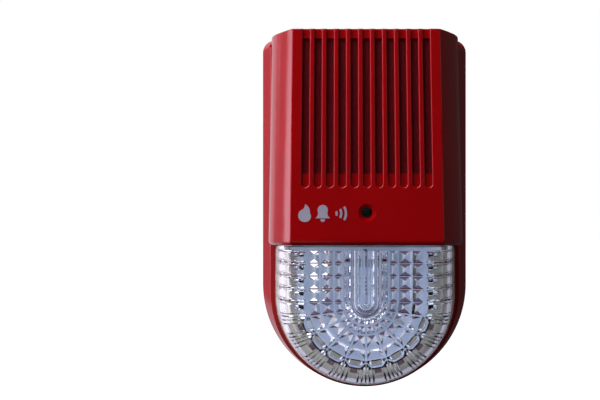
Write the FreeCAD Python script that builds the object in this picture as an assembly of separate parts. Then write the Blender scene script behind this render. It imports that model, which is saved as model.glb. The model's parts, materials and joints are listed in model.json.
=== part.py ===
"""Wall-mounted horn strobe: a wall base, and a front unit that hooks on it and swings down to close.

Millimetres. X is to the right, +Z is up, and the front faces -Y. The wall is the plane y = 0, and the
origin is the middle of the two wall screws. "Height" is measured up from the base's bottom edge, and
"depth" is measured out from the wall.
"""
import FreeCAD, Part
import math
import os

# ---------------------------------------------------------------- driving dimensions
wall_screw_height = 84.0        # of the wall screws, above the base's bottom edge
wall_screw_spacing = 60.0
wall_slot_width = 4.6
wall_slot_length = 9.0

base_half = 45.0                # half the base's width, and its bottom radius
base_height = 153.0
base_corner = 5.5
base_plate = 2.5
rim_foot = 2.0                  # upright edge next to the wall, before the rim slopes in
rim_depth = 10.0
lip_half = 41.0
lip_centre_height = 42.3
lip_top_height = 152.0
lip_wall = 2.0
rim_edge_r = 0.7
low_rim_depth = 8.2             # the rim is lower along the top, where the front unit swings
low_rim_height = 149.0

swing_gap = 0.3                 # between the base's lip and the closed front unit
unit_back = rim_depth + swing_gap
hinge_depth = 7.5
hinge_height = 149.0
hinge_bar_r = 1.25
hinge_hook_r = 1.32
hinge_outer_r = 2.3
hinge_ear_xs = (15.8, 26.2)
hinge_ear_width = 2.0
hook_clearance = 0.3

housing_bottom = 66.0           # at the front; the underside slopes down towards the wall
housing_bottom_back = 62.9
housing_wall = 2.4
housing_end_wall = 2.0
front_half = 30.0               # half the width of the flat front
front_depth_top = 37.6
front_depth_bottom = 54.0
facet_half, facet_drop = 36.4, 12.6
facet_mid = (33.42, 6.18)       # the facet is slightly crowned
shoulder_mid = (38.85, 18.9)
shoulder_half, shoulder_drop = 40.4, 26.5
front_edge_r = 0.8
bottom_edge_r = 2.0
top_edge_r = 0.6
lean = math.degrees(math.atan2(front_depth_bottom - front_depth_top, base_height - housing_bottom))
underside_slope = (housing_bottom - housing_bottom_back) / (front_depth_bottom - unit_back)

groove_count = 11
groove_pitch = 4.87
groove_width = 2.8
groove_depth = 1.5
rib_edge_r = 0.65
groove_bottom = 88.8
window_bottom = 94.4
window_top = 149.4

lock_height = 78.8
lock_hole_r = 2.15
lock_rim_r = 3.5
lock_rim_depth = lock_rim_r - lock_hole_r
lock_tube_r = 4.6
lock_pocket_r = 3.2
lock_screw_r = 1.45
lock_head_r = 2.75
lock_head = 2.4
lock_seat_depth = 18.5
lock_tip_depth = 5.5
lock_travel = 4.0
lock_narrow_depth = lock_seat_depth + lock_head + lock_travel + 0.4

cover_plate = 2.0
cover_front = unit_back + cover_plate
cover_half_low = 39.2
cover_half_high = 37.8
cover_top = 150.6

board_back = 14.0
board_thickness = 1.6
board_front = board_back + board_thickness
board_half = 29.5
board_top = 146.0

reflector_back = cover_front + 0.1
reflector_flange = 0.95         # thickness of the flange that the lens stands on
reflector_gap = 0.6             # under the housing's underside
lens_half = 38.6
lens_centre_height = 41.6
lens_gap = 0.2                  # under the housing's underside
lens_back = reflector_back + reflector_flange + 0.05
lens_straight = 1.05            # straight foot of the lens's skirt
lens_face = 35.7
lens_face_half = 23.7
lens_wall = 2.0
lens_end_depth = 27.0           # the wall across the lens's top end stops short of the reflector

sounder_height = 121.0
sounder_r = 22.0
sounder_wall = 1.6
sounder_front = 29.0

tube_r, tube_bore_r = 2.0, 1.4
tube_depth = 25.0
tube_low, tube_high = 35.0, 59.0

terminal_xs = (-12.0, -4.0, 4.0, 12.0)
terminal_screw_height = 117.0
blade_height = 125.0
block_low, block_high = 112.0, 130.0
block_half = 17.0
block_front = 9.0
strip_back, strip_front = 4.0, 4.8
clamp_thickness = 0.8
terminal_head = 1.6

boss_places = ((-33.4, 72.5), (33.4, 72.5), (-33.4, 142.0), (33.4, 142.0))
board_screw_places = ((-25.0, 58.0), (25.0, 58.0), (-25.5, 140.5), (25.5, 140.5))
fit_gap = 0.05
mark_thickness = 0.2

V = FreeCAD.Vector
X_AXIS, Y_AXIS, Z_AXIS = V(1, 0, 0), V(0, 1, 0), V(0, 0, 1)
parts = {}


# ---------------------------------------------------------------- helpers
def up(height):
    """z of a height above the base's bottom edge."""
    return height - wall_screw_height


def point(x, depth, height):
    return V(x, -depth, up(height))


def box(x0, x1, depth0, depth1, height0, height1):
    return Part.makeBox(x1 - x0, depth1 - depth0, height1 - height0, V(x0, -depth1, up(height0)))


def rod(x, height, depth0, depth1, radius):
    """Cylinder square to the wall."""
    return Part.makeCylinder(radius, depth1 - depth0, point(x, depth1, height), Y_AXIS)


def pipe(x, height, depth0, depth1, outer, inner):
    return rod(x, height, depth0, depth1, outer).cut(rod(x, height, depth0 - 1, depth1 + 1, inner))


def upright(x, depth, height0, height1, radius):
    """Cylinder along Z."""
    return Part.makeCylinder(radius, height1 - height0, point(x, depth, height0), Z_AXIS)


def crosswise(x0, x1, depth, height, radius):
    """Cylinder along X."""
    return Part.makeCylinder(radius, x1 - x0, point(x0, depth, height), X_AXIS)


def fused(shapes):
    whole = shapes[0]
    for shape in shapes[1:]:
        whole = whole.fuse(shape)
    return whole.removeSplitter()


def line(a, b):
    return Part.LineSegment(a, b).toShape()


def arc(a, mid, b):
    return Part.Arc(a, mid, b).toShape()


def d_wire(half, centre_height, top_height, corner, depth):
    """D outline at a depth: rounded top corners, straight sides, and a round bottom."""
    near = corner * (1 - math.sqrt(0.5))
    side, top = half - corner, top_height - corner
    edges = [
        arc(point(half, depth, centre_height), point(0, depth, centre_height - half),
            point(-half, depth, centre_height)),
        line(point(-half, depth, centre_height), point(-half, depth, top)),
        arc(point(-half, depth, top), point(near - half, depth, top_height - near),
            point(-side, depth, top_height)),
        line(point(-side, depth, top_height), point(side, depth, top_height)),
        arc(point(side, depth, top_height), point(half - near, depth, top_height - near),
            point(half, depth, top)),
        line(point(half, depth, top), point(half, depth, centre_height)),
    ]
    return Part.Wire(edges)


def d_plate(half, centre_height, top_height, corner, depth0, depth1):
    wire = d_wire(half, centre_height, top_height, corner, depth0)
    return Part.Face(wire).extrude(V(0, depth0 - depth1, 0))


def turned_d(steps, centre_height, top_height):
    """D-shaped body from half of its section. Each step is (half width, depth) for a line, or
    (mid half width, mid depth, half width, depth) for an arc."""
    edges = []
    start = here = point(steps[0][0], steps[0][1], centre_height)
    for step in steps[1:]:
        there = point(step[-2], step[-1], centre_height)
        if len(step) == 2:
            edges.append(line(here, there))
        else:
            edges.append(arc(here, point(step[0], step[1], centre_height), there))
        here = there
    edges.append(line(here, start))
    half_section = Part.Face(Part.Wire(edges))
    round_end = half_section.revolve(point(0, 0, centre_height), Y_AXIS, 180)
    right = half_section.extrude(V(0, 0, top_height - centre_height))
    left = right.mirror(V(0, 0, 0), X_AXIS)
    return fused([round_end, right, left])


def underside(depth):
    """Height of the housing's sloping underside at a depth."""
    return housing_bottom - (front_depth_bottom - depth) * underside_slope


def beside_underside(level, offset):
    """Wide block between a level height and the plane this far above the housing's underside."""
    half, back, front = 50, unit_back - 1, 80
    corners = [point(-half, back, level), point(-half, front, level),
               point(-half, front, underside(front) + offset), point(-half, back, underside(back) + offset)]
    return Part.Face(Part.makePolygon(corners + corners[:1])).extrude(V(2 * half, 0, 0))


def along_front(height):
    """Height on an upright front, before it leans back, of the point that ends up at this height."""
    return housing_bottom + (height - housing_bottom) / math.cos(math.radians(lean))


def leaned(shape):
    """Leans back a shape that is drawn as if the front stood upright at its bottom edge's depth."""
    shape = shape.copy()
    shape.rotate(point(0, front_depth_bottom, housing_bottom), X_AXIS, -lean)
    return shape


def wire_along(points, radius):
    """Round wire along straight runs joined by arcs."""
    runs = [b - a for a, b in zip(points, points[1:])]
    edges = []
    here = points[0]
    for i in range(1, len(points) - 1):
        trim = 0.45 * min(runs[i - 1].Length, runs[i].Length)
        into, out = V(runs[i - 1]).normalize(), V(runs[i]).normalize()
        begin, end = points[i] - into * trim, points[i] + out * trim
        half_turn = into.getAngle(out) / 2
        bisector = (out - into).normalize()
        bend_r = trim / math.tan(half_turn)
        mid = points[i] + bisector * (bend_r / math.cos(half_turn) - bend_r)
        edges += [line(here, begin), arc(begin, mid, end)]
        here = end
    edges.append(line(here, points[-1]))
    circle = Part.Wire(Part.Circle(points[0], runs[0], radius).toShape())
    return Part.Wire(edges).makePipeShell([circle], True, False)


def screw(x, height, seat, tip, shank_r, head_r, head_length, outward=1):
    """Screw square to the wall with a cross recess; outward is 1 if its head faces the front."""
    head_end = seat + outward * head_length
    shank = rod(x, height, min(seat, tip), max(seat, tip), shank_r)
    head = rod(x, height, min(seat, head_end), max(seat, head_end), head_r)
    recess_end = head_end - outward * head_length * 0.55
    low, high = sorted((head_end + outward, recess_end))
    arm, slot = head_r * 0.62, head_r * 0.13
    recess = box(x - arm, x + arm, low, high, height - slot, height + slot).fuse(
        box(x - slot, x + slot, low, high, height - arm, height + arm))
    return fused([shank, head]).cut(recess)


# ---------------------------------------------------------------- wall base
def mounting_base():
    """Tray with a sloping rim, hinge bars, screw slots, cable entry and the boss for the lock insert."""
    foot = d_plate(base_half, base_half, base_height, base_corner, 0, rim_foot)
    slope = Part.makeLoft([
        d_wire(base_half, base_half, base_height, base_corner, rim_foot),
        d_wire(lip_half, lip_centre_height, lip_top_height, base_corner - 1.5, rim_depth)], True, True)
    outline = fused([foot, slope])
    rounded = [e for e in outline.Edges if min(abs(e.BoundBox.YMin + d) + abs(e.BoundBox.YMax + d)
                                               for d in (rim_foot, rim_depth)) < 0.02]
    outline = outline.makeFillet(rim_edge_r, rounded)
    inner = lip_half - lip_wall
    tray = outline.cut(d_plate(inner, lip_centre_height, lip_top_height - lip_wall, base_corner - 3,
                               base_plate, rim_depth + 1))
    tray = tray.cut(box(-base_half, base_half, low_rim_depth, rim_depth + 1, low_rim_height, base_height + 1))

    solids = [tray, rod(0, lock_height, base_plate, 9.4, 4.2)]
    for side in (-1, 1):
        solids.append(box(*sorted((side * 19, side * 20.4)), base_plate, 5.5, 14, 62))
        for ear_x in hinge_ear_xs:
            x0, x1 = sorted((side * ear_x, side * (ear_x + hinge_ear_width)))
            solids.append(box(x0, x1, base_plate, hinge_depth, hinge_height - hinge_outer_r,
                              hinge_height + hinge_outer_r))
            solids.append(crosswise(x0, x1, hinge_depth, hinge_height, hinge_outer_r))
    body = fused(solids)

    for side in (-1, 1):
        groove = sorted((side * (hinge_ear_xs[0] + hinge_ear_width), side * hinge_ear_xs[1]))
        body = body.cut(box(*groove, base_plate, rim_depth, hinge_height - 3, base_height + 1))
    bars = [crosswise(*sorted((side * (hinge_ear_xs[0] + 1), side * (hinge_ear_xs[1] + 1))),
                      hinge_depth, hinge_height, hinge_bar_r) for side in (-1, 1)]
    body = fused([body] + bars)

    body = body.cut(box(-14, 14, -1, base_plate + 1, 90, 108))
    body = body.cut(rod(0, lock_height, 3.0, rim_depth, 2.3))
    for side in (-1, 1):
        x = side * wall_screw_spacing / 2
        reach = (wall_slot_length - wall_slot_width) / 2
        for end in (-reach, reach):
            body = body.cut(rod(x + end, wall_screw_height, -1, base_plate + 1, wall_slot_width / 2))
        body = body.cut(box(x - reach, x + reach, -1, base_plate + 1,
                            wall_screw_height - wall_slot_width / 2, wall_screw_height + wall_slot_width / 2))
    parts["mounting_base"] = body
    parts["lock_insert"] = pipe(0, lock_height, 3.4, 9.2, 2.3 - fit_gap / 2, 1.75)


def terminal_block():
    """Barrier block in the base, with a contact strip, clamp plate and screw for each of four wires."""
    block = box(-block_half, block_half, base_plate + 0.02, block_front, block_low, block_high)
    strips = []
    for number, x in enumerate(terminal_xs, 1):
        block = block.cut(box(x - 3.3, x + 3.3, strip_back, block_front + 1, block_low - 1, 121.2))
        block = block.cut(box(x - 3.1, x + 3.1, strip_back, strip_front + fit_gap, 121.0, 128.1))
        block = block.cut(box(x - 1.5, x + 1.5, strip_back, block_front + 1, 121.6, 128.8))
        block = block.cut(rod(x, terminal_screw_height, 2.7, block_front, 1.6))
        leaves = [box(*sorted((x + side * 0.46, x + side * 0.9)), strip_front - 0.1, 8.6, 122.4, 127.8)
                  for side in (-1, 1)]
        strip = fused([box(x - 3, x + 3, strip_back + 0.02, strip_front, 113.2, 128)] + leaves)
        strips.append(strip.cut(rod(x, terminal_screw_height, 3, 6, 1.55)))

        seat = strip_front + 0.03 + clamp_thickness
        clamp = box(x - 2.9, x + 2.9, strip_front + 0.03, seat, terminal_screw_height - 3,
                    terminal_screw_height + 3).cut(rod(x, terminal_screw_height, 3, 9, 1.55))
        parts[f"clamp_plate_{number}"] = clamp
        parts[f"terminal_screw_{number}"] = screw(x, terminal_screw_height, seat + 0.02, 3.0, 1.48, 2.6,
                                                  terminal_head)
    parts["terminal_block"] = block
    parts["contact_strips"] = Part.makeCompound(strips)


# ---------------------------------------------------------------- front unit: shells
def housing_section():
    """Plan section of the housing at its top edge, drawn well past the wall."""
    past_wall_drop = front_depth_top + 40

    def at(side, half, drop):
        return point(side * half, front_depth_top - drop, base_height)

    edges = [line(at(-1, front_half, 0), at(1, front_half, 0)),
             line(at(-1, shoulder_half, past_wall_drop), at(1, shoulder_half, past_wall_drop))]
    for side in (1, -1):
        facet_end = at(side, facet_half, facet_drop)
        shoulder_end = at(side, shoulder_half, shoulder_drop)
        edges += [arc(at(side, front_half, 0), at(side, *facet_mid), facet_end),
                  arc(facet_end, at(side, *shoulder_mid), shoulder_end),
                  line(shoulder_end, at(side, shoulder_half, past_wall_drop))]
    return Part.Face(Part.Wire(Part.__sortEdges__(edges)))


def on_front_corner(edge):
    """True for the two long edges between the flat front and the side facets."""
    ends = [vertex.Point for vertex in edge.Vertexes]
    return len(ends) == 2 and ends[0].distanceToPoint(ends[1]) > 50 and all(
        abs(abs(end.x) - front_half) < 0.01 for end in ends)


def in_plane(edge, height_at):
    """True for an outer edge that follows a plane, given by its height at a depth, except at the back."""
    first, last = edge.ParameterRange
    places = [edge.valueAt(first + share * (last - first)) for share in (0, 0.5, 1)]
    return edge.BoundBox.YMin < -unit_back - 0.01 and all(
        abs(place.z - up(height_at(-place.y))) < 0.01 for place in places)


def rounded_edges(shape, roundings):
    """The shape with all its (radius, test) edge roundings made in one go, so that they can meet."""
    document = FreeCAD.newDocument()
    sharp = document.addObject("Part::Feature", "sharp")
    sharp.Shape = shape
    fillet = document.addObject("Part::Fillet", "rounded")
    fillet.Base = sharp
    fillet.Edges = [(number, radius, radius) for radius, test in roundings
                    for number, edge in enumerate(shape.Edges, 1) if test(edge)]
    document.recompute()
    result = fillet.Shape.copy()
    FreeCAD.closeDocument(document.Name)
    return result


def front_housing():
    """Leaning shell with grooves that run out over its top, screw bosses and the screwdriver tube."""
    past_underside = 1.1
    sweep = V(0, front_depth_top - front_depth_bottom, housing_bottom - base_height) * past_underside
    section = housing_section()
    outer = section.extrude(sweep).common(beside_underside(base_height, 0))
    outer = outer.common(box(-50, 50, unit_back, 80, housing_bottom_back - 1, base_height))
    outer = rounded_edges(outer, [(front_edge_r, on_front_corner),
                                  (bottom_edge_r, lambda edge: in_plane(edge, underside)),
                                  (top_edge_r, lambda edge: in_plane(edge, lambda depth: base_height))])

    cavity = section.makeOffset2D(-housing_wall).extrude(sweep)
    cavity = cavity.common(beside_underside(base_height - housing_end_wall, housing_end_wall))
    shell = outer.cut(cavity)

    posts = [rod(x, height, cover_front + fit_gap, 32, 3.1) for x, height in boss_places]
    for x, height in boss_places:
        posts.append(box(*sorted((x, math.copysign(shoulder_half, x))), cover_front + fit_gap, 32,
                         height - 1, height + 1))
    posts.append(rod(0, lock_height, lock_seat_depth + 0.4, 60, lock_tube_r))
    shell = fused([shell] + [post.common(outer) for post in posts])
    for x, height in boss_places:
        shell = shell.cut(rod(x, height, unit_back, 27, 1.25))

    shell = shell.cut(rod(0, lock_height, unit_back, lock_narrow_depth, lock_pocket_r))
    shell = shell.cut(rod(0, lock_height, unit_back, 60, lock_hole_r))
    along = along_front(lock_height)
    rim = Part.makeCone(lock_hole_r, lock_rim_r + lock_rim_depth, 2 * lock_rim_depth,
                        point(0, front_depth_bottom - lock_rim_depth, along), -Y_AXIS)
    shell = shell.cut(leaned(rim))

    front = front_depth_bottom
    half, lip = groove_width / 2, rib_edge_r
    near = lip * (1 - math.sqrt(0.5))
    groove = turned_d([(0, front - groove_depth), (half, front - groove_depth), (half, front - lip),
                       (half + near, front - near, half + lip, front), (half + lip, front + 3),
                       (0, front + 3)], along_front(groove_bottom) + half, base_height + 5)
    window = box(-half, half, front - housing_wall - 1, front, along_front(window_bottom),
                 along_front(window_top))
    for number in range(groove_count):
        x = (number - (groove_count - 1) / 2) * groove_pitch
        for tool in (groove, window):
            cutter = leaned(tool)
            cutter.translate(V(x, 0, 0))
            shell = shell.cut(cutter)

    notch_half, notch_front = cover_half_high + fit_gap, 17
    board_notch = box(-notch_half, notch_half, unit_back - 1, notch_front, housing_bottom_back - 1,
                      underside(notch_front) + housing_end_wall + 0.1)
    parts["front_housing"] = shell.cut(board_notch)
    screen_front = front - housing_wall - 0.1
    parts["dust_screen"] = leaned(box(-26.6, 26.6, screen_front - 0.7, screen_front, along_front(91),
                                      along_front(150)))


def rear_cover():
    """Back plate of the front unit, with hooks for the hinge bars, standoffs and openings."""
    low_top = housing_bottom_back - fit_gap
    low = d_plate(cover_half_low, lens_centre_height, low_top, 1.0, unit_back, cover_front)
    high = box(-cover_half_high, cover_half_high, unit_back, cover_front, low_top - 1, cover_top)
    solids = [low, high, rod(0, lock_height, unit_back, lock_seat_depth, 4.4)]
    solids += [rod(x, height, unit_back, board_back, 2.8) for x, height in board_screw_places]
    for side in (-1, 1):
        inner = side * (hinge_ear_xs[0] + hinge_ear_width + hook_clearance)
        outer = side * (hinge_ear_xs[1] - hook_clearance)
        x0, x1 = sorted((inner, outer))
        hook = fused([crosswise(x0, x1, hinge_depth, hinge_height, hinge_outer_r),
                      box(x0, x1, hinge_depth, unit_back + 0.5, hinge_height - 1.2, hinge_height + 1.4)])
        hook = hook.cut(crosswise(x0 - 1, x1 + 1, hinge_depth, hinge_height, hinge_hook_r))
        mouth = box(x0 - 1, x1 + 1, hinge_depth - hinge_hook_r, hinge_depth + hinge_hook_r,
                    hinge_height - 4, hinge_height)
        solids.append(hook.cut(mouth))
    cover = fused(solids)
    cover = cover.cut(rod(0, lock_height, unit_back - 1, lock_seat_depth - 1, 2.9))
    cover = cover.cut(rod(0, lock_height, unit_back - 1, lock_seat_depth + 1, 1.7))
    for x, height in boss_places:
        cover = cover.cut(rod(x, height, unit_back - 1, cover_front + 1, 1.6))
    for x, height in board_screw_places:
        cover = cover.cut(rod(x, height, unit_back + 0.8, board_back + 1, 1.1))
    cover = cover.cut(box(-16, 16, unit_back - 1, cover_front + 1, 121.4, 128.6))
    cover = cover.cut(box(9.6, 18.4, unit_back - 1, cover_front + 1, 95.8, 109.6))
    cover = cover.cut(box(-18.4, -9.6, unit_back - 1, cover_front + 1, 98.4, 107.2))
    parts["rear_cover"] = cover
    parts["housing_screws"] = Part.makeCompound(
        [screw(x, height, unit_back - 0.02, 22, 1.2, 2.7, 1.7, outward=-1) for x, height in boss_places])


def lens():
    """Clear D-shaped cup with a flat face, a convex skirt and a short wall across its top end."""
    def cup(inset):
        back = lens_back if inset == 0 else lens_back - 1
        half, face = lens_half - inset, lens_face - inset
        return turned_d([(0, back), (half, back), (half, lens_back + lens_straight),
                         (36.6 - inset * 0.97, 23.0 - inset * 0.23),
                         (32.0 - inset * 0.7, 31.2 - inset * 0.71, lens_face_half - inset * 0.25, face),
                         (0, face)], lens_centre_height, housing_bottom)
    whole = cup(0).common(beside_underside(0, -lens_gap))
    end_wall = whole.common(box(-50, 50, lens_end_depth, 50, 0, housing_bottom)).cut(
        beside_underside(0, -lens_gap - lens_wall))
    parts["lens"] = fused([whole.cut(cup(lens_wall)), end_wall])


# ---------------------------------------------------------------- front unit: flash
def flash():
    """Reflector, flash tube with its electrodes, holders, leads and trigger wire."""
    flange_half, flange_front = lens_half - 0.1, reflector_back + reflector_flange
    reflector = turned_d([(0, 17.2), (9, 17.2), (21.6, 19.0, 30.9, 24.3), (33.7, reflector_back),
                          (flange_half, reflector_back), (flange_half, flange_front), (34.5, flange_front),
                          (31.5, 25.7), (30.9, 25.7), (21.2, 20.3, 9, 18.4), (0, 18.4)],
                         lens_centre_height, housing_bottom)
    reflector = reflector.common(beside_underside(0, -reflector_gap))
    ends = (tube_low, tube_high)
    for height in (tube_low - 2.2, tube_high + 2.2):
        reflector = reflector.cut(rod(0, height, 16, 20, 0.9))
    reflector = reflector.cut(rod(2.6, (tube_low + tube_high) / 2, 16, 20, 0.6))
    parts["reflector"] = reflector

    glass = upright(0, tube_depth, tube_low, tube_high, tube_r)
    parts["flash_tube"] = glass.cut(upright(0, tube_depth, tube_low - 1, tube_high + 1, tube_bore_r))
    parts["tube_electrodes"] = Part.makeCompound([
        fused([upright(0, tube_depth, tube_low - 0.6, tube_low + 3, tube_bore_r - fit_gap),
               upright(0, tube_depth, tube_low - 0.6, tube_low - 0.02, tube_r)]),
        fused([upright(0, tube_depth, tube_high - 3, tube_high + 0.6, tube_bore_r - fit_gap),
               upright(0, tube_depth, tube_high + 0.02, tube_high + 0.6, tube_r)])])

    holders = []
    for height in (tube_low + 1, tube_high - 4):
        collar = upright(0, tube_depth, height, height + 3, tube_r + 1.2)
        foot = box(-2.2, 2.2, 18.42, tube_depth, height, height + 3)
        holders.append(fused([collar, foot]).cut(
            upright(0, tube_depth, height - 1, height + 4, tube_r + fit_gap)))
    parts["tube_holders"] = Part.makeCompound(holders)

    leads = []
    for height, sign in zip(ends, (-1, 1)):
        tip = height + sign * 0.62
        bend = height + sign * 2.2
        leads.append(wire_along([point(0, tube_depth, tip), point(0, tube_depth, bend),
                                 point(0, board_front + 0.02, bend)], 0.4))
    parts["tube_leads"] = Part.makeCompound(leads)

    middle = (tube_low + tube_high) / 2
    rings = [Part.makeTorus(tube_r + 0.27, 0.22, point(0, tube_depth, middle + turn * 1.6), Z_AXIS)
             for turn in (-2, -1, 1, 2)]
    loop = Part.makeTorus(tube_r + 0.27, 0.22, point(0, tube_depth, middle), Z_AXIS)
    tail = rod(2.6, middle, board_front + 0.02, tube_depth, 0.22)
    parts["trigger_wire"] = Part.makeCompound(rings + [fused([loop, tail])])


# ---------------------------------------------------------------- front unit: board and sounder
def board():
    """Circuit board with the parts soldered to it."""
    plate = d_plate(board_half, lens_centre_height, board_top, 2.0, board_back, board_front)
    plate = plate.cut(rod(0, lock_height, board_back - 1, board_front + 1, 5.0))
    for x, height in board_screw_places:
        plate = plate.cut(rod(x, height, board_back - 1, board_front + 1, 1.3))
    blades = []
    for x in terminal_xs:
        plate = plate.cut(box(x - 0.42, x + 0.42, board_back - 1, board_front + 1, 124, 126))
        blades.append(fused([box(x - 0.4, x + 0.4, board_back - 0.02, board_front - 0.05, 124.02, 125.98),
                             box(x - 0.4, x + 0.4, 5.5, board_back - 0.02, 123, 127)]))
    parts["main_board"] = plate
    parts["contact_blades"] = Part.makeCompound(blades)
    parts["board_screws"] = Part.makeCompound(
        [screw(x, height, board_front + 0.02, unit_back + 1.2, 1.05, 2.2, 1.5)
         for x, height in board_screw_places])

    top = board_front + 0.02
    can = rod(19.5, 79.5, top + 0.6, 41, 7.8)
    groove = pipe(19.5, 79.5, top + 2.6, top + 3.6, 9, 7.4)
    parts["storage_capacitor"] = fused([can.cut(groove), rod(19.5, 79.5, top, top + 0.6, 6.8)])
    parts["boost_inductor"] = fused([rod(-20.5, 84, top, top + 1.6, 7),
                                     rod(-20.5, 84, top + 1.6, top + 10, 5),
                                     rod(-20.5, 84, top + 10, top + 11.6, 7)])
    parts["inductor_winding"] = pipe(-20.5, 84, top + 1.65, top + 9.95, 6.6, 5 + fit_gap)
    parts["trigger_transformer"] = fused([box(-15, -7, top, top + 9, 69.5, 76.5),
                                          box(-14, -8, top + 9, top + 10.2, 70.5, 75.5)])
    parts["power_transistor"] = fused([box(-27.5, -18.5, top, top + 4.4, 70, 75.6),
                                       box(-27.5, -18.5, top + 0.6, top + 1.8, 68.9, 70)])
    parts["control_chips"] = Part.makeCompound([box(-5, 5, top, top + 1.6, 88, 92),
                                                box(11, 17, top, top + 1.6, 91.5, 95.4)])
    parts["small_capacitors"] = Part.makeCompound([
        rod(-26, 96, top, top + 8, 2.5), rod(26, 96, top, top + 8, 2.5), rod(-9.5, 90, top, top + 7, 2.0)])
    parts["resistors"] = Part.makeCompound(
        [crosswise(x, x + 4.4, top + 1.1, height, 1.0) for x, height in
         ((-13.5, 95.5), (6.4, 72), (6.4, 75), (21.6, 91.2))])


def sounder():
    """Piezo sounder behind the grooves."""
    back = board_front + 0.02
    body = rod(0, sounder_height, back, sounder_front, sounder_r)
    body = body.cut(rod(0, sounder_height, back + 2, sounder_front + 1, sounder_r - sounder_wall))
    ledge = pipe(0, sounder_height, back + 2, 22, sounder_r, 18.6)
    body = fused([body, ledge])
    body = body.cut(box(-2.6, 2.6, 21, 23.6, sounder_height - sounder_r - 1, sounder_height - 18))
    parts["sounder_body"] = body
    parts["piezo_disc"] = rod(0, sounder_height, 22.02, 22.42, sounder_r - sounder_wall - fit_gap)
    parts["piezo_ceramic"] = rod(0, sounder_height, 21.7, 22.0, 13)
    cap = rod(0, sounder_height, sounder_front + 0.02, sounder_front + 1.6, sounder_r)
    spigot = pipe(0, sounder_height, 27, sounder_front + 0.5, sounder_r - sounder_wall - fit_gap, 19)
    cap = fused([cap, spigot]).cut(rod(0, sounder_height, 20, 40, 4.5))
    for number in range(6):
        angle = math.radians(60 * number)
        cap = cap.cut(rod(12 * math.cos(angle), sounder_height + 12 * math.sin(angle), 20, 40, 1.6))
    parts["sounder_cap"] = cap
    parts["sounder_leads"] = Part.makeCompound([
        wire_along([point(x, 23.0, sounder_height - 18.2), point(x, 23.0, 95.6), point(x, back, 95.6)], 0.5)
        for x in (-1.3, 1.3)])


# ---------------------------------------------------------------- moving pieces on the front unit
def settings():
    """Switch with four sliders and a volume trimmer, on the back of the board."""
    switch_x, switch_front, pitch = 14.0, 11.0, 2.54
    body = box(switch_x - 3.1, switch_x + 3.1, switch_front, board_back - 0.02, 97.2, 108.2)
    for number in range(4):
        height = 102.7 + (number - 1.5) * pitch
        body = body.cut(box(switch_x - 1.5, switch_x + 1.5, switch_front - 1, switch_front + 1.2,
                            height - 0.7, height + 0.7))
        parts[f"switch_slider_{number + 1}"] = box(switch_x - 1.44, switch_x - 0.1, switch_front - 0.5,
                                                   switch_front + 1.15, height - 0.64, height + 0.64)
    parts["switch_body"] = body

    trimmer_x, trimmer_height = -14.0, 102.8
    trimmer = box(trimmer_x - 3.3, trimmer_x + 3.3, 11.2, board_back - 0.02, trimmer_height - 3.3,
                  trimmer_height + 3.3)
    parts["trimmer_body"] = trimmer.cut(rod(trimmer_x, trimmer_height, 10, 12.2, 2.1))
    rotor = rod(trimmer_x, trimmer_height, 10.8, 12.15, 2.04)
    parts["trimmer_rotor"] = rotor.cut(box(trimmer_x - 1.7, trimmer_x + 1.7, 10, 11.4,
                                           trimmer_height - 0.3, trimmer_height + 0.3))


def lock():
    """Captive screw that holds the front unit shut, and the washer that keeps it in."""
    parts["lock_screw"] = screw(0, lock_height, lock_seat_depth + 0.03, lock_tip_depth, lock_screw_r,
                                lock_head_r, lock_head)
    parts["lock_washer"] = pipe(0, lock_height, 12.4, 13.0, 2.7, lock_screw_r + fit_gap)


def front_mark():
    """Flame, bell and sound waves in thin silver print, in place of lettering."""
    middle = 78.5

    def at(x, height):
        return point(x, front_depth_bottom, along_front(height))

    def flat(edges):
        return Part.Face(Part.Wire(edges)).extrude(V(0, -mark_thickness, 0))

    def disc(x, height, radius):
        return rod(x, along_front(height), front_depth_bottom, front_depth_bottom + mark_thickness, radius)

    flame = flat([arc(at(-24.3, 75.2), at(-26.9, 77.4), at(-25.2, 80.0)),
                  arc(at(-25.2, 80.0), at(-24.5, 80.9), at(-24.3, 82.1)),
                  arc(at(-24.3, 82.1), at(-22.7, 80.6), at(-22.3, 78.6)),
                  arc(at(-22.3, 78.6), at(-22.4, 76.0), at(-24.3, 75.2))])
    bell = flat([line(at(-20.2, 76.6), at(-14.4, 76.6)),
                 arc(at(-14.4, 76.6), at(-15.3, 77.7), at(-15.4, 79.2)),
                 arc(at(-15.4, 79.2), at(-17.3, 81.8), at(-19.2, 79.2)),
                 arc(at(-19.2, 79.2), at(-19.3, 77.7), at(-20.2, 76.6))])
    below_bell = box(-20, -14, 0, 80, along_front(70), along_front(76.3))
    shapes = [flame, bell, disc(-17.3, 76.1, 0.9).common(below_bell)]
    wedge = Part.Face(Part.makePolygon([at(-13.4, middle), at(-5.4, middle + 4.6), at(-5.4, middle - 4.6),
                                        at(-13.4, middle)])).extrude(V(0, -mark_thickness, 0))
    for radius in (2.0, 3.8, 5.6):
        ring = disc(-13.4, middle, radius).cut(disc(-13.4, middle, radius - 0.9))
        shapes.append(ring.common(wedge))
    parts["front_mark"] = Part.makeCompound([leaned(shape) for shape in shapes])


for build in (mounting_base, terminal_block, front_housing, rear_cover, lens, flash, board, sounder, settings,
              lock, front_mark):
    build()

os.makedirs("parts", exist_ok=True)
for name, shape in parts.items():
    shape.exportStep(f"parts/{name}.step")
    print(f"{name:22s} solids {len(shape.Solids):2d} volume {shape.Volume:9.1f} valid {shape.isValid()}")
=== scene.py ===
import json
import math

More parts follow.
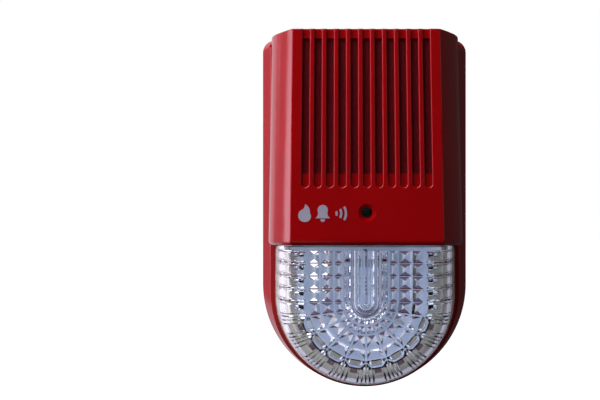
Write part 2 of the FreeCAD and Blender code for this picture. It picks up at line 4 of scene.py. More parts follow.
import bmesh
import bpy
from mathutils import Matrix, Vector


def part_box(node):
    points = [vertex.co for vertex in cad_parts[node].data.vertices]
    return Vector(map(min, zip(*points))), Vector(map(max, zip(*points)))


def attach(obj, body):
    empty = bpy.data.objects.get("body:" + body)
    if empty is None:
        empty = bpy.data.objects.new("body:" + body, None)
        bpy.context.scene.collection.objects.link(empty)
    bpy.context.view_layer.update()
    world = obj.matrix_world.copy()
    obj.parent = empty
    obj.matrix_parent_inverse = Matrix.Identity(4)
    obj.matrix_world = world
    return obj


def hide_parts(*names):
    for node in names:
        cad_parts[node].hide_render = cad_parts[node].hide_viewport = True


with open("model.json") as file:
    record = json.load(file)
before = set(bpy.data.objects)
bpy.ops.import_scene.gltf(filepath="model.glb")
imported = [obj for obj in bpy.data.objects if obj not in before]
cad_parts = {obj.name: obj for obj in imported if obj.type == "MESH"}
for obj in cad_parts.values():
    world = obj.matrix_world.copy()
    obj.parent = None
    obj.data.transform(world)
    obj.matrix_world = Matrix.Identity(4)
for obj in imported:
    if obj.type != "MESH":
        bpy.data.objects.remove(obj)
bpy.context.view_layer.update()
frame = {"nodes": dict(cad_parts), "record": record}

MM = 0.001
lens_low, lens_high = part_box("lens")
lens_centre = lens_low.z + lens_high.x      # z of the centre of the lens's round end
scene = bpy.context.scene


# ---------------------------------------------------------------- node helpers
class Graph:
    """A node tree, with short calls for the nodes used here."""

    def __init__(self, tree):
        self.tree = tree
        self.coordinates = self.add("ShaderNodeTexCoord")

    def add(self, kind, **values):
        node = self.tree.nodes.new(kind)
        for key, value in values.items():
            setattr(node, key, value)
        return node

    def link(self, source, target):
        self.tree.links.new(source, target)

    def ramp(self, source, stops):
        """Colour ramp with a (position, colour) for each stop."""
        node = self.add("ShaderNodeValToRGB")
        band = node.color_ramp
        for _ in stops[2:]:
            band.elements.new(0.5)
        for element, (position, colour) in zip(band.elements, stops):
            element.position = position
            element.color = (*colour, 1)
        self.link(source, node.inputs["Fac"])
        return node.outputs["Color"]

    def spread(self, source, low, high, start=0.0, end=1.0):
        """The source's range from start to end, laid over low to high."""
        node = self.add("ShaderNodeMapRange")
        for socket, value in (("From Min", start), ("From Max", end), ("To Min", low), ("To Max", high)):
            node.inputs[socket].default_value = value
        self.link(source, node.inputs["Value"])
        return node.outputs["Result"]

    def component(self, source, axis):
        node = self.add("ShaderNodeSeparateXYZ")
        self.link(source, node.inputs["Vector"])
        return node.outputs[axis]

    def math(self, operation, a, b=0.0):
        """A maths node on two sockets or numbers."""
        node = self.add("ShaderNodeMath", operation=operation)
        for socket, value in zip(node.inputs, (a, b)):
            if isinstance(value, (int, float)):
                socket.default_value = value
            else:
                self.link(value, socket)
        return node.outputs["Value"]

    def vector(self, operation, source, values=(0, 0, 0)):
        """A vector maths node on a socket and a constant."""
        node = self.add("ShaderNodeVectorMath", operation=operation)
        self.link(source, node.inputs[0])
        node.inputs[1].default_value = values
        return node.outputs

    def mixed(self, share, first, second):
        """Blend from one colour socket to a second one, or to a constant colour."""
        node = self.add("ShaderNodeMix", data_type="RGBA")
        self.link(share, node.inputs["Factor"])
        self.link(first, node.inputs["A"])
        if isinstance(second, tuple):
            node.inputs["B"].default_value = (*second, 1)
        else:
            self.link(second, node.inputs["B"])
        return node.outputs["Result"]


class Finish(Graph):
    """A material, its node tree and its main shader."""

    def __init__(self, name):
        self.material = bpy.data.materials.new(name)
        self.material.use_nodes = True
        super().__init__(self.material.node_tree)
        self.shader = self.tree.nodes["Principled BSDF"]
        self.place = self.coordinates.outputs["Object"]

    def set(self, **values):
        """Constants on the shader's own sockets."""
        for key, value in values.items():
            self.shader.inputs[key.replace("_", " ")].default_value = value

    def feed(self, socket, source):
        """Links a source to one of the shader's sockets."""
        self.link(source, self.shader.inputs[socket])

    def noise(self, size, detail=3, stretch=None):
        """Noise whose features are about this many metres across."""
        node = self.add("ShaderNodeTexNoise")
        node.inputs["Scale"].default_value = 1 / size
        node.inputs["Detail"].default_value = detail
        self.link(self.stretched(stretch) if stretch else self.place, node.inputs["Vector"])
        return node.outputs["Fac"]

    def stretched(self, stretch):
        mapping = self.add("ShaderNodeMapping")
        mapping.inputs["Scale"].default_value = stretch
        self.link(self.place, mapping.inputs["Vector"])
        return mapping.outputs["Vector"]

    def beyond(self, centre_z, distance):
        """1 further than a distance from the centre line of a D whose round end is centred at this z."""
        below = self.math("MINIMUM", self.math("SUBTRACT", self.component(self.place, "Z"), centre_z), 0.0)
        sideways = self.math("POWER", self.component(self.place, "X"), 2.0)
        squares = self.math("ADD", sideways, self.math("MULTIPLY", below, below))
        return self.math("GREATER_THAN", self.math("SQRT", squares), distance)

    def bump(self, source, height):
        node = self.add("ShaderNodeBump")
        node.inputs["Distance"].default_value = height
        node.inputs["Strength"].default_value = 1.0
        self.link(source, node.inputs["Height"])
        self.feed("Normal", node.outputs["Normal"])


def shade(colour, factor):
    return tuple(min(1.0, channel * factor) for channel in colour)


def moulded(name, colour, roughness=(0.3, 0.4), grain=0.0004, grain_height=0.00001, **values):
    """Plastic or rubber with slight colour drift, uneven gloss and a fine moulded grain."""
    m = Finish(name)
    m.feed("Base Color", m.ramp(m.noise(0.02, 4), [(0.3, shade(colour, 0.9)), (0.7, shade(colour, 1.06))]))
    m.feed("Roughness", m.spread(m.noise(0.003, 5), *roughness))
    m.bump(m.noise(grain, 2), grain_height)
    m.set(**values)
    return m.material


def metal(name, colour, roughness=(0.18, 0.3), stretch=(1, 1, 30)):
    """Metal with fine drawn lines and slight staining."""
    m = Finish(name)
    m.set(Metallic=1.0)
    m.feed("Base Color", m.ramp(m.noise(0.004, 5), [(0.3, shade(colour, 0.82)), (0.65, colour)]))
    lines = m.noise(0.0004, 3, stretch)
    m.feed("Roughness", m.spread(lines, *roughness))
    m.bump(lines, 0.000004)
    return m.material


# ---------------------------------------------------------------- finishes, one for each slot in the record
def red_plastic():
    """Glossy moulded red, with a faint waviness."""
    m = Finish("red_plastic")
    reds = [(0.3, (0.40, 0.0004, 0.002)), (0.7, (0.46, 0.0006, 0.003))]
    m.feed("Base Color", m.ramp(m.noise(0.03, 3), reds))
    m.feed("Roughness", m.spread(m.noise(0.004, 6), 0.1, 0.15))
    m.bump(m.noise(0.0009, 3), 0.000012)
    m.set(IOR=1.48)
    return m.material


def clear_lens(name="clear_lens", tint=(0.93, 0.95, 1.0)):
    """Clear polycarbonate."""
    m = Finish(name)
    m.set(Base_Color=(*tint, 1), Transmission_Weight=1.0, IOR=1.585, Roughness=0.0)
    m.bump(m.noise(0.004, 2), 0.00001)
    return m.material


def bright_reflector():
    """Metallised bowl, with a weak painted glow: emission standing in for the light that it gathers behind
    the lens, stronger towards the top. The rim outside the bowl is bare plastic."""
    bowl_edge = 0.0287                  # from the D's centre line
    painted_glow_low, painted_glow_high = 0.035, 0.15   # strengths of the painted glow at these heights:
    low_z, high_z = -0.065, -0.015
    m = Finish("bright_reflector")
    bowl = m.ramp(m.noise(0.012, 3), [(0.3, (0.68, 0.80, 0.97)), (0.7, (0.76, 0.88, 1.0))])
    bare = m.ramp(m.noise(0.004, 4), [(0.3, (0.50, 0.49, 0.36)), (0.7, (0.58, 0.57, 0.43))])
    outside = m.beyond(lens_centre, bowl_edge)
    m.feed("Base Color", m.mixed(outside, bowl, bare))
    m.feed("Metallic", m.spread(outside, 0.3, 0.0))
    # painted glow: pale blue emission, stronger towards the top and none on the bare rim, standing in for light
    # gathered behind the lens
    m.set(Emission_Color=(0.55, 0.80, 1.0, 1))
    glow = m.spread(m.component(m.place, "Z"), painted_glow_low, painted_glow_high, low_z, high_z)
    m.feed("Emission Strength", m.math("MULTIPLY", glow, m.spread(outside, 1.0, 0.0)))
    m.feed("Roughness", m.spread(m.noise(0.003, 4), 0.3, 0.42))
    m.bump(m.noise(0.0025, 2), 0.00003)
    return m.material


def tube_glass():
    """Quartz of the flash tube."""
    m = Finish("tube_glass")
    m.set(Base_Color=(0.95, 0.96, 1.0, 1), Transmission_Weight=1.0, IOR=1.46, Roughness=0.02)
    m.bump(m.noise(0.003, 2), 0.00001)
    return m.material


def copper():
    """Enamelled wire wound in close turns."""
    m = Finish("copper")
    m.set(Metallic=1.0)
    turns = m.add("ShaderNodeTexWave", wave_type="BANDS", bands_direction="Y")
    turns.inputs["Scale"].default_value = 300
    turns.inputs["Distortion"].default_value = 0.6
    m.link(m.place, turns.inputs["Vector"])
    m.feed("Base Color", m.ramp(turns.outputs["Fac"], [(0.0, (0.16, 0.05, 0.015)), (0.6, (0.62, 0.27, 0.1))]))
    m.feed("Roughness", m.spread(m.noise(0.002), 0.25, 0.4))
    m.bump(turns.outputs["Fac"], 0.0002)
    return m.material


def green_board():
    """Solder resist over glass cloth."""
    m = Finish("green_board")
    weave = m.add("ShaderNodeTexVoronoi")
    weave.inputs["Scale"].default_value = 900
    m.link(m.place, weave.inputs["Vector"])
    greens = [(0.35, (0.008, 0.075, 0.028)), (0.6, (0.012, 0.12, 0.045))]
    m.feed("Base Color", m.ramp(m.noise(0.006, 4), greens))
    m.feed("Roughness", m.spread(weave.outputs["Distance"], 0.25, 0.4))
    m.bump(weave.outputs["Distance"], 0.00002)
    return m.material


def dust_felt():
    """Dark red cloth with upright fibres."""
    m = Finish("dust_felt")
    fibres = m.noise(0.0004, 8, (1, 1, 2.5))
    m.feed("Base Color", m.ramp(fibres, [(0.3, (0.13, 0.005, 0.009)), (0.75, (0.23, 0.009, 0.016))]))
    m.set(Roughness=0.9, Specular_IOR_Level=0.15)
    m.bump(fibres, 0.0002)
    return m.material


def ferrite():
    """Sintered dark grey, slightly rough."""
    m = Finish("ferrite")
    m.feed("Base Color", m.ramp(m.noise(0.0006, 6), [(0.35, (0.035, 0.035, 0.04)), (0.7, (0.09, 0.09, 0.1))]))
    m.set(Roughness=0.55)
    m.bump(m.noise(0.0003, 4), 0.00004)
    return m.material


FINISHES = {
    "red_plastic": red_plastic,
    "clear_lens": clear_lens,
    "bright_reflector": bright_reflector,
    "tube_glass": tube_glass,
    "steel": lambda: metal("steel", (0.34, 0.34, 0.35)),
    "tinned_wire": lambda: metal("tinned_wire", (0.72, 0.71, 0.68), (0.2, 0.35), (20, 20, 1)),
    "silicone_rubber": lambda: moulded("silicone_rubber", (0.42, 0.46, 0.58), (0.5, 0.65)),
    "green_board": green_board,
    "brass": lambda: metal("brass", (0.72, 0.5, 0.2), (0.2, 0.32), (1, 20, 20)),
    "white_ceramic": lambda: moulded("white_ceramic", (0.8, 0.79, 0.74), (0.25, 0.45), 0.0003),
    "dark_sleeve": lambda: moulded("dark_sleeve", (0.012, 0.014, 0.03), (0.25, 0.35)),
    "ferrite": ferrite,
    "copper": copper,
    "black_plastic": lambda: moulded("black_plastic", (0.02, 0.02, 0.022), (0.4, 0.55), 0.0003, 0.00002),
    "resistor_body": lambda: moulded("resistor_body", (0.36, 0.5, 0.62), (0.2, 0.3), 0.0005),
    "dust_felt": dust_felt,
    "lead_insulation": lambda: moulded("lead_insulation", (0.42, 0.01, 0.01), (0.35, 0.45)),
    "switch_plastic": lambda: moulded("switch_plastic", (0.03, 0.09, 0.42), (0.35, 0.5)),
    "trimmer_plastic": lambda: moulded("trimmer_plastic", (0.05, 0.16, 0.5), (0.3, 0.45)),
    "white_plastic": lambda: moulded("white_plastic", (0.8, 0.8, 0.76), (0.35, 0.5)),
    "silver_print": lambda: moulded("silver_print", (0.50, 0.49, 0.60), (0.4, 0.5), 0.0003, 0.00002,
                                    Metallic=0.2),
}


def finish_cad_nodes():
    """Gives every CAD node the finish of its slot in the record."""
    made = {}
    for row in frame["record"]["subparts"]:
        slot = row["material_slot"]
        if slot not in made:
            made[slot] = FINISHES[slot]()
        mesh = frame["nodes"][row["node"]].data
        mesh.materials.clear()
        mesh.materials.append(made[slot])
    return made


# ---------------------------------------------------------------- lens
class Lens:
    """The clear prismatic cup. Millimetres, on the D's own centre: x to the right, w up and depth from the
    wall. Each face is made on the right and mirrored. "Across" is the distance from the D's centre line: x
    beside the straight part, and the radius round the bottom. A bay is a strip from the middle outwards, and
    a share is a place along its length."""

    # walls and outer surface
    wall = 2.0
    foot = 1.05                                         # straight foot of the skirt
    foot_share = 0.55                                   # how thick the foot is, as a share of the wall
    arc_across = (23.7, 32.0, 36.6)                     # three points of the round front edge
    arc_depth = (31.2, 23.0)                            # depths of the last two; the first is on the face
    arc_across_inset = (0.25, 0.7, 0.97)                # how much of the wall's thickness moves each point
    arc_depth_inset = (1.0, 0.71, 0.23)
    arc_steps = 12
    # top end
    end_depth = 27.0                                    # how deep the wall across the top end reaches
    end_slope = 0.0709                                  # the top end follows the housing's underside
    end_corner = 1.9                                    # radius of the top end's corners
    end_bend = 19.0                                     # w from where the mesh is fitted to the top end
    # layout
    row_lines = (22.9, 20.9, 15.6, 10.3, 5.0, -0.2)     # w of the grid's level lines
    fan_lines = (7.5, 25.5, 46.5, 68.0, 90.0)           # degrees below level
    fan_drop = 2.8                                      # the fan's lines meet this far below the D's centre
    ring_drop = 0.6                                     # and its rings' centre is this far below it
    grid_lines = (9.4, 13.2, 18.9, 23.8)                # across: three columns of prisms
    quarters = (0, 0.25, 0.5, 0.75, 1)                  # steps along a bay where it is plain
    # prisms
    margins = {"row": (0.14, 0.28), "fan": (0.5, 0.42)}     # half the flat lines along and across a bay's ends
    side_slope = {"row": 0.72, "fan": 0.8}
    ridge = {"row": (0.5, 0.5, 0.5), "fan": (0.45, 0.4, 0.3)}   # where the ridges lie across the columns
    ridge_limit = 0.49                                  # share of its length that each end may take
    # across and inner depth of the smooth bands round the slot in the middle
    bands = ((0.0, 33.7), (0.35, 33.7), (0.9, 33.3), (1.5, 33.7), (2.1, 33.3), (2.7, 33.7), (3.0, 33.3),
             (3.3, 33.7), (4.3, 33.7), (4.7, 33.35), (5.2, 33.7), (5.6, 33.4), (5.9, 33.7), (6.3, 33.7))
    # beads round the bands
    bead = (6.3, 8.9)
    bead_margins = (0.2, 0.1)
    bead_rise = 1.1
    bead_top = 0.3                                      # size of the flat top, as a share of the foot
    # shares of a bay's length where the skirt's inner wall changes, and how far it is raised there
    row_wall = ((0, 0.12), (0.03, 0), (0.07, 0.2), (0.125, 0.28), (0.18, 0.2), (0.22, 0), (0.32, 0), (0.46, 0),
                (0.5, 0), (0.78, 0), (0.82, 0.2), (0.875, 0.28), (0.93, 0.2), (0.97, 0), (1, 0.12))
    fan_wall = ((0, 0.12), (0.025, 0), (0.065, 0), (0.11, 0), (0.14, 0.15), (0.17, 0), (0.26, 0), (0.29, 0.15),
                (0.32, 0), (0.35, 0), (0.5, 0), (0.65, 0), (0.68, 0), (0.71, 0.15), (0.74, 0), (0.83, 0),
                (0.86, 0.15), (0.89, 0), (0.935, 0), (0.975, 0), (1, 0.12))
    walls = {"row": row_wall, "fan": fan_wall}
    rise_across, rise_depth = 0.75, 0.6                 # how a raised wall moves in the round part
    fade_after = 16                                     # ring at which the raised parts would be down to 0
    plain_rings = 2                                     # the last rings stay on the skirt's foot
    # border of the prisms: round ends of the bays, and the step down to the skirt
    bulge = {"row": 0.5, "fan": 1.9}                    # how far the round ends stand out
    bulge_rate = 3.5                                    # how soon along the bay it is reached
    scoop = {"row": 0.0, "fan": 1.3}                    # depth of the hollow inside each petal
    scoop_rate = 6
    scoop_at = 0.75                                     # where it lies between the prisms and the border
    end_gap, end_border = 0.7, 0.4                      # from the prisms to the step, and its flat border
    step_across, step_depth = 0.35, 0.1
    small_roofs = {"row": (0.125, 0.875), "fan": (0.065, 0.935)}    # shares along a bay
    roof_rise = 0.45
    # inner wall of the skirt
    skirt_inner = (27.3, 27.6, 28.2, 28.9, 29.3, 29.7)  # across
    skirt_gap = 0.4                                     # from the last of them to the outer profile's rings
    tongue = (0.3, 0.48)                                # shares of a row between which its tongue lies
    tongue_rise = 0.8
    tongue_start, tongue_end = 27.3, 30.0               # across
    painted_red_shares = (0.34, 0.6)                            # dark red painted into the petals' ends, standing in for red plastic seen through the glass: shares along a bay
    painted_red_rings = (5, 6, 7, 8)                            # and rings of its inner wall
    sharp_angle = 12.0                                  # degrees between faces from where an edge is sharp

    def __init__(self):
        low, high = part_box("lens")
        self.half = high.x / MM
        self.centre_z = low.z / MM + self.half
        self.top = high.z / MM - self.centre_z
        self.face, self.back = -low.y / MM, -high.y / MM
        self.inner_face = self.face - self.wall
        self.bm = bmesh.new()
        self.points = {}

    def vertex(self, x, w, depth):
        key = (round(x, 4), round(w, 4), round(depth, 4))
        if key not in self.points:
            self.points[key] = self.bm.verts.new((x * MM, -depth * MM, (w + self.centre_z) * MM))
        return self.points[key]

    def polygon(self, corners, painted_red_face=False):
        """A face and its mirror image. Corners are (x, w, depth). A painted red face takes the lens's dark red
        glass, which is painted in for red plastic seen through it.
        """
        for side in (1, -1):
            ring = []
            for x, w, depth in corners:
                v = self.vertex(side * x, w, depth)
                if v not in ring:
                    ring.append(v)
            if len(ring) < 3:
                continue
            if side < 0:
                ring.reverse()
            face = self.bm.faces.new(ring)
            face.smooth = True
            face.material_index = int(painted_red_face)

    def ring_centre(self, across):
        """w of a ring's centre: lowered inside the petals, and the outline's own at the outline."""
        petals = self.grid_lines[-1]
        return -self.ring_drop * min(1.0, (self.half - across) / (self.half - petals))

    def on_fan(self, across, angle):
        """Where a fan line at this angle crosses the ring at this distance from the D's centre line."""
        c, s = math.cos(math.radians(angle)), -math.sin(math.radians(angle))
        drop = self.fan_drop + self.ring_centre(across)
        reach = drop * s + math.sqrt(across ** 2 - (drop * c) ** 2)
        return reach * c, reach * s - self.fan_drop

    def on_outline(self, across, x, w):
        """The nearest point of the ring at this distance from the D's centre line."""
        centre = self.ring_centre(across)
        if w >= centre:
            return across, w
        scale = across / math.hypot(x, w - centre)
        return x * scale, (w - centre) * scale + centre

    def bays(self):
        """Each bay's kind, and a function of (across, share of its length) that gives (x, w); from the top down
        to the middle of the bottom. The last row is a wedge that ends on the first line of the fan."""
        made = []
        for w0, w1 in zip(self.row_lines, self.row_lines[1:]):
            made.append(("row", lambda a, f, w0=w0, w1=w1: self.on_outline(a, a, w0 + (w1 - w0) * f)))

        def wedge(a, f):
            x0, w0 = a, self.row_lines[-1]
            x1, w1 = self.on_fan(a, self.fan_lines[0])
            return self.on_outline(a, x0 + (x1 - x0) * f, w0 + (w1 - w0) * f)
        made.append(("row", wedge))
        for b0, b1 in zip(self.fan_lines, self.fan_lines[1:]):
            made.append(("fan", lambda a, f, b0=b0, b1=b1: self.on_fan(a, b0 + (b1 - b0) * f)))
        return made

    def towards_middle(self, bay, across, f):
        """As the bay, but on rays to the D's own centre, for rings inside the fan."""
        x, w = bay(self.grid_lines[0], f)
        return self.on_outline(across, x, w)

    def outer_profile(self, inset=0.0):
        """(across, depth) from the edge of the flat face round the skirt to the back."""
        across = [a - inset * share for a, share in zip(self.arc_across, self.arc_across_inset)]
        depth = [d - inset * share for d, share in zip((self.face, *self.arc_depth), self.arc_depth_inset)]
        a, b, c = (Vector(point) for point in zip(across, depth))
        centre = circle_centre(a, b, c)
        radius = (a - centre).length
        start = math.atan2(a.y - centre.y, a.x - centre.x)
        end = math.atan2(c.y - centre.y, c.x - centre.x)
        turns = [start + (end - start) * i / self.arc_steps for i in range(self.arc_steps + 1)]
        arc = [(centre.x + radius * math.cos(t), centre.y + radius * math.sin(t)) for t in turns]
        end = self.half - inset * self.foot_share
        foot = (end, self.back + self.foot)
        straight = [tuple(Vector(arc[-1]).lerp(foot, share)) for share in (1 / 3, 2 / 3, 1)]
        return arc + straight + [(end, self.back)]

    def border(self, corners, depth, edges, margins):
        """Flat border inside a four-cornered cell; edges are extra points on each side, and margins its widths
        along the first and third sides, and along the others. Returns its inner corners."""
        points = [Vector(c) for c in corners]
        base = []
        for i, point in enumerate(points):
            before = (points[i - 1] - point).normalized()
            after = (points[(i + 1) % 4] - point).normalized()
            turn = abs(before.cross(after))
            base.append(point + (before * margins[i % 2] + after * margins[1 - i % 2]) / turn)
        for i in range(4):
            j = (i + 1) % 4
            border = [points[i], *[Vector(p) for p in edges[i]], points[j], base[j], base[i]]
            self.polygon([(p.x, p.y, depth) for p in border][::-1])
        return base

    def bead_on(self, corners, depth, edges):
        """Flat-topped pyramid on a cell."""
        base = self.border(corners, depth, edges, self.bead_margins)
        high = depth - self.bead_rise
        middle = sum(base, Vector((0, 0))) / 4
        peak = [middle.lerp(p, self.bead_top) for p in base]
        for i in range(4):
            j = (i + 1) % 4
            sides = [(*base[i], depth), (*base[j], depth), (*peak[j], high), (*peak[i], high)]
            self.polygon(sides[::-1])
        self.polygon([(*p, high) for p in peak][::-1])

    def prism(self, kind, corners, depth, edges, ridge_at):
        """Hipped roof on a cell: two sides along the rings, and two steep ends. Its ridge lies at this share of
        the way across."""
        base = self.border(corners, depth, edges, self.margins[kind])
        first, last = base[0].lerp(base[1], ridge_at), base[3].lerp(base[2], ridge_at)
        half = min((base[1] - base[0]).length, (base[2] - base[3]).length) / 2
        rise = self.side_slope[kind] * half
        inwards = min(self.ridge_limit, rise / (last - first).length)
        ridge = [first.lerp(last, inwards), last.lerp(first, inwards)]
        high = depth - rise
        self.polygon([(*base[1], depth), (*base[0], depth), (*ridge[0], high)])
        self.polygon([(*base[3], depth), (*base[2], depth), (*ridge[1], high)])
        self.polygon([(*base[2], depth), (*base[1], depth), (*ridge[0], high), (*ridge[1], high)])
        self.polygon([(*base[0], depth), (*base[3], depth), (*ridge[1], high), (*ridge[0], high)])

    def plain_cells(self, bay, across, depths):
        """A smooth strip between two rings inside the fan."""
        (a0, a1), (d0, d1) = across, depths
        for f0, f1 in zip(self.quarters, self.quarters[1:]):
            self.polygon([(*self.towards_middle(bay, a, f), d)
                          for a, f, d in ((a0, f0, d0), (a1, f0, d1), (a1, f1, d1), (a0, f1, d0))])

    def beads(self, bay):
        """The bay's one bead, with the points of the strips inside and outside it."""
        a0, a1 = self.bead
        corners = [self.towards_middle(bay, a, f) for a, f in ((a0, 0), (a1, 0), (a1, 1), (a0, 1))]
        between = self.quarters[1:-1]
        outside = [self.towards_middle(bay, a1, f) for f in between]
        inside = [self.towards_middle(bay, a0, f) for f in between[::-1]]
        self.bead_on(corners, self.inner_face, [(), outside, (), inside])

    def prisms(self, kind, bay):
        """One prism of a bay in each column, with the points of what lies beside the outer columns."""
        lines = list(zip(self.grid_lines, self.grid_lines[1:]))
        for column, (a0, a1) in enumerate(lines):
            corners = [bay(a0, 0), bay(a1, 0), bay(a1, 1), bay(a0, 1)]
            first, last = (), ()
            if column == 0:
                first = [self.towards_middle(bay, a0, f) for f in self.quarters[-2:0:-1]]
            if column == len(lines) - 1:
                last = [self.chord(bay, f) for f in self.shares(kind)[1:-1]]
            self.prism(kind, corners, self.inner_face, [(), last, (), first], self.ridge[kind][column])

    def build(self):
        """The whole lens as an object. The top end and its first row are a wall of their own."""
        bays = self.bays()
        self.end_wall(bays[0][1])
        for kind, bay in bays[1:]:
            for (a0, d0), (a1, d1) in zip(self.bands, self.bands[1:]):
                self.plain_cells(bay, (a0, a1), (d0, d1))
            self.beads(bay)
            self.plain_cells(bay, (self.bead[1], self.grid_lines[0]), (self.inner_face, self.inner_face))
            self.prisms(kind, bay)
            self.skirt(kind, bay)
        self.outside(bays)
        return self.finish()

    def end_wall(self, end):
        """The wall across the top end: its inner side, and its step down to the first row of prisms."""
        inner = self.inner_face
        section = list(self.bands) + [(self.bead[1], inner)] + [(a, inner) for a in self.grid_lines]
        section += self.past_grid("row", *self.row_wall[0])
        w = self.row_lines[1]
        for (a0, d0), (a1, d1) in zip(section, section[1:]):
            e0, e1 = min(d0, self.end_depth), min(d1, self.end_depth)
            self.polygon([(a0, w, d0), (a0, w, e0), (a1, w, e1), (a1, w, d1)])
            for f0, f1 in zip(self.shares("row"), self.shares("row")[1:]):
                self.polygon([(*end(a0, f0), e0), (*end(a1, f0), e1), (*end(a1, f1), e1), (*end(a0, f1), e0)])

    def shares(self, kind):
        """The shares of a bay's length at which the skirt's inner wall changes."""
        return [share for share, _ in self.walls[kind]]

    def past_grid(self, kind, share, wall_rise):
        """(across, depth) of the inner surface beyond the prisms, at this share of a bay's length: the row's
        round end, a ramp, and the skirt's inner wall down to the back."""
        near_end = min(share, 1 - share)
        bulge = self.bulge[kind] * min(1.0, self.bulge_rate * near_end)
        edge = self.grid_lines[-1] + self.end_gap + bulge
        border = edge - self.end_border
        low = self.grid_lines[-1] + self.scoop_at * (border - self.grid_lines[-1])
        scoop = self.scoop[kind] * min(1.0, self.scoop_rate * near_end)
        roof = self.roof_rise if share in self.small_roofs[kind] else 0.0
        inner = self.inner_face
        rings = [(low, inner - scoop), (border, inner), (edge, inner),
                 (edge + self.step_across, inner - self.step_depth - roof)]
        profile = self.outer_profile(self.wall)
        for i, a in enumerate(self.skirt_inner):
            rise = roof if i == 0 else wall_rise
            if kind == "row" and self.tongue[0] < share < self.tongue[1]:
                rise += self.tongue_rise * (self.tongue_end - a) / (self.tongue_end - self.tongue_start)
            rings.append((a, self.depth_at(profile, a) - rise))
        skirt = [point for point in profile if point[0] > self.skirt_inner[-1] + self.skirt_gap]
        for i, (a, d) in enumerate(skirt):
            plain = i >= len(skirt) - self.plain_rings
            rise = 0 if plain else wall_rise * (1 - i / self.fade_after)
            rings.append((a - rise * self.rise_across, d - rise * self.rise_depth))
        return rings

    def chord(self, bay, f):
        """A point on the straight outer edge of a bay's last prism."""
        a, b = Vector(bay(self.grid_lines[-1], 0)), Vector(bay(self.grid_lines[-1], 1))
        return tuple(a.lerp(b, f))

    @staticmethod
    def depth_at(profile, across):
        """A profile's depth at this distance across."""
        for (a0, d0), (a1, d1) in zip(profile, profile[1:]):
            if a0 <= across <= a1:
                return d0 + (d1 - d0) * (across - a0) / (a1 - a0)
        return profile[0][1]

    def skirt(self, kind, bay):
        """The inner surface from the prisms to the back."""
        lines = []
        for share, rise in self.walls[kind]:
            line = [(*self.chord(bay, share), self.inner_face)]
            lines.append(line + [(*bay(a, share), d) for a, d in self.past_grid(kind, share, rise)])
        for (share, _), line, after in zip(self.walls[kind], lines, lines[1:]):
            # painted red: on these rings, the middle of each petal's end takes the dark red glass, standing in
            # for red plastic seen through the lens
            middle = kind == "fan" and self.painted_red_shares[0] < share < self.painted_red_shares[1]
            for i in range(len(line) - 1):
                self.polygon([line[i], line[i + 1], after[i + 1], after[i]], middle and i in self.painted_red_rings)

    def outside(self, bays):
        """Smooth outer surface, back rim and top end."""
        profile = self.outer_profile()
        for kind, bay in bays:
            for f0, f1 in zip(self.shares(kind), self.shares(kind)[1:]):
                for (a0, d0), (a1, d1) in zip(profile, profile[1:]):
                    quad = [(*bay(a0, f0), d0), (*bay(a0, f1), d0), (*bay(a1, f1), d1), (*bay(a1, f0), d1)]
                    self.polygon(quad)
                rim = self.half - self.wall * self.foot_share
                self.polygon([(*bay(self.half, f0), self.back), (*bay(self.half, f1), self.back),
                              (*bay(rim, f1), self.back), (*bay(rim, f0), self.back)])
        # flat face: one polygon for each half, joined along the middle
        edge = []
        for kind, bay in bays:
            edge += [bay(profile[0][0], f) for f in self.shares(kind)[:-1]]
        edge.append(bays[-1][1](profile[0][0], 1))
        self.polygon([(0, self.top, self.face)] + [(x, w, self.face) for x, w in edge])

    def fit_top_end(self):
        """Moves the vertices near the top end so that it slopes and has round corners."""
        start, end = self.end_bend, self.row_lines[0]
        for vert in self.bm.verts:
            x, depth, w = abs(vert.co.x / MM), -vert.co.y / MM, vert.co.z / MM - self.centre_z
            if w > start:
                past = max(0.0, x - self.half + self.end_corner)
                corner = self.end_corner - math.sqrt(max(0.0, self.end_corner ** 2 - past ** 2))
                top = self.top - (self.face - depth) * self.end_slope - corner
                w = start + (w - start) * (top - start) / (end - start)
                vert.co.z = (w + self.centre_z) * MM

    def finish(self):
        """Closes the top end and makes the object."""
        top_edges = [e for e in self.bm.edges if e.is_boundary]
        bmesh.ops.holes_fill(self.bm, edges=top_edges, sides=0)
        bmesh.ops.recalc_face_normals(self.bm, faces=self.bm.faces)
        self.fit_top_end()
        mesh = bpy.data.meshes.new("prismatic_lens")
        self.bm.to_mesh(mesh)
        self.bm.free()
        mesh.set_sharp_from_angle(angle=math.radians(self.sharp_angle))
        lens = bpy.data.objects.new("prismatic_lens", mesh)
        scene.collection.objects.link(lens)
        return lens


def circle_centre(a, b, c):
    """Centre of the circle through three points of a plane."""
    d = 2 * (a.x * (b.y - c.y) + b.x * (c.y - a.y) + c.x * (a.y - b.y))
    aa, bb, cc = a.length_squared, b.length_squared, c.length_squared
    return Vector(((aa * (b.y - c.y) + bb * (c.y - a.y) + cc * (a.y - b.y)) / d,
                   (aa * (c.x - b.x) + bb * (a.x - c.x) + cc * (b.x - a.x)) / d))


# ---------------------------------------------------------------- studio
def area_light(name, place, target, width, height, power, colour=(1, 1, 1)):
    data = bpy.data.lights.new(name, "AREA")
    data.shape = "RECTANGLE"
    data.size, data.size_y = width, height
    data.energy = power
    data.color = colour
    light = bpy.data.objects.new(name, data)
    light.location = place
    light.rotation_euler = (Vector(target) - Vector(place)).to_track_quat("-Z", "Y").to_euler()
    scene.collection.objects.link(light)


def around(azimuth, height, distance):
    """A point at this angle from straight in front, to the left if positive."""
    angle = math.radians(azimuth)
    return (-math.sin(angle) * distance, -math.cos(angle) * distance, height)


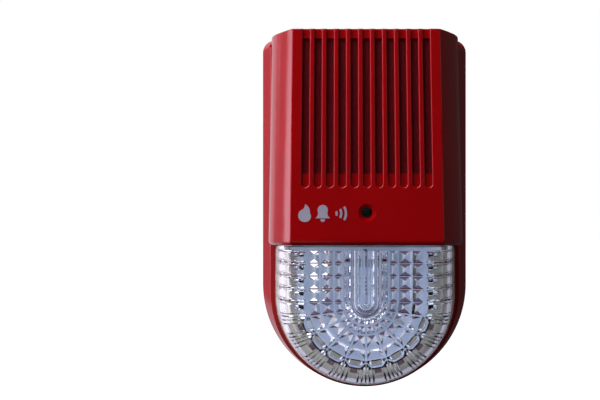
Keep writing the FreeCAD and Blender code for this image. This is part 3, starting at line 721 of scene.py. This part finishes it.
def lens_room(graph):
    """What shows through the lens: dark straight ahead of the object, pale all round, grey behind it, and a
    bright oval window ahead, a little to the left. Brighter from the left."""
    grey, pale, dark = (0.46, 0.44, 0.52), (0.8, 0.86, 1.0), (0.10, 0.08, 0.13)
    white = (1.5, 1.5, 1.5)
    window_centre, window_scale = (-0.038, 0, 0.1), (60, 0, 9)
    window_edge = (1.2, 0.8)            # from no white to full white
    right, left = 0.3, -0.6
    brightness = (1.0, 1.5)             # at right and at left
    direction = graph.coordinates.outputs["Generated"]
    ahead = graph.vector("DOT_PRODUCT", direction, (0, -1, 0))["Value"]
    walls = graph.ramp(graph.spread(ahead, 0.0, 1.0, -1.0, 1.0),
                       [(0.38, grey), (0.45, pale), (0.76, pale), (0.92, dark)])
    offset = graph.vector("SUBTRACT", direction, window_centre)["Vector"]
    distance = graph.vector("LENGTH", graph.vector("MULTIPLY", offset, window_scale)["Vector"])["Value"]
    room = graph.add("ShaderNodeBackground")
    window = graph.spread(distance, 0.0, 1.0, *window_edge)
    graph.link(graph.mixed(window, walls, white), room.inputs["Color"])
    sideways = graph.component(direction, "X")
    graph.link(graph.spread(sideways, *brightness, right, left), room.inputs["Strength"])
    return room


def surroundings():
    """White for the eye, the lens's room for what comes through glass, and a faint glow for the rest."""
    world = bpy.data.worlds.new("studio")
    scene.world = world
    world.use_nodes = True
    graph = Graph(world.node_tree)
    path = graph.add("ShaderNodeLightPath")

    def glow(colour, strength):
        background = graph.add("ShaderNodeBackground")
        background.inputs["Color"].default_value = (*colour, 1)
        background.inputs["Strength"].default_value = strength
        return background

    def choose(ray, no, yes):
        mix = graph.add("ShaderNodeMixShader")
        for source, socket in ((path.outputs[ray], 0), (no.outputs[0], 1), (yes.outputs[0], 2)):
            graph.link(source, mix.inputs[socket])
        return mix

    unseen = choose("Is Transmission Ray", glow((0.9, 0.95, 1.0), 0.04), lens_room(graph))
    seen = choose("Is Camera Ray", unseen, glow((1, 1, 1), 1.0))
    graph.link(seen.outputs["Shader"], world.node_tree.nodes["World Output"].inputs["Surface"])


def lights():
    """Each panel aims at the object and is mirrored by one part of it."""
    middle = (0, -0.02, 0)
    area_light("key", around(48, 0.5, 0.34), middle, 0.55, 0.45, 2.7)
    area_light("strip", around(63, 0.22, 0.5), middle, 0.26, 0.5, 1.05, (1.0, 0.75, 1.0))
    area_light("low_left", around(36, -0.14, 0.37), (0, 0, -0.14), 0.5, 0.2, 0.1)
    area_light("left_near", around(104.5, 0.03, 0.6), middle, 0.38, 0.7, 1.95, (0.96, 0.9, 1.05))
    area_light("left_gap", around(128, 0.03, 0.6), middle, 0.13, 0.7, 0.08, (1.0, 0.8, 1.0))
    area_light("left_far", around(155, 0.03, 0.6), middle, 0.46, 0.7, 0.72, (1.0, 0.88, 0.97))
    area_light("right_fill", around(-75, 0.15, 0.8), middle, 0.5, 0.5, 0.32)
    area_light("behind", (0.1, 0.6, 0.7), middle, 0.6, 0.5, 3.0)


def pale_floor():
    bpy.ops.mesh.primitive_plane_add(size=8, location=(0, 0, -0.35))
    floor = bpy.context.object
    floor.name = "floor"
    finish = Finish("floor")
    finish.set(Base_Color=(0.9, 0.9, 0.9, 1), Roughness=0.9)
    finish.set(Emission_Color=(1, 1, 1, 1), Emission_Strength=1.0)
    floor.data.materials.append(finish.material)
    floor.visible_glossy = False
    floor.visible_diffuse = False
    floor.visible_transmission = False


def camera():
    """The photo's viewpoint: level, straight in front and a little to the left."""
    data = bpy.data.cameras.new("camera")
    data.sensor_width = 36
    data.lens = 56.8
    data.shift_x, data.shift_y = -0.075, -0.05
    data.clip_start, data.clip_end = 0.01, 50
    eye = bpy.data.objects.new("camera", data)
    eye.location = (-0.0086, -0.422, 0.0115)
    eye.rotation_euler = (math.radians(90), 0, 0)
    scene.collection.objects.link(eye)
    scene.camera = eye


finishes = finish_cad_nodes()
lens = Lens().build()
lens.data.materials.append(finishes["clear_lens"])
# second lens finish: dark red glass, painted red for the red plastic seen through the petals' ends
lens.data.materials.append(clear_lens("clear_lens_painted_red", (0.03, 0.0003, 0.0012)))
lens.visible_shadow = False
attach(lens, "front_unit")
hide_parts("lens")
frame["nodes"]["flash_tube"].visible_shadow = False
surroundings()
lights()
pale_floor()
camera()
scene.view_settings.view_transform = "Standard"
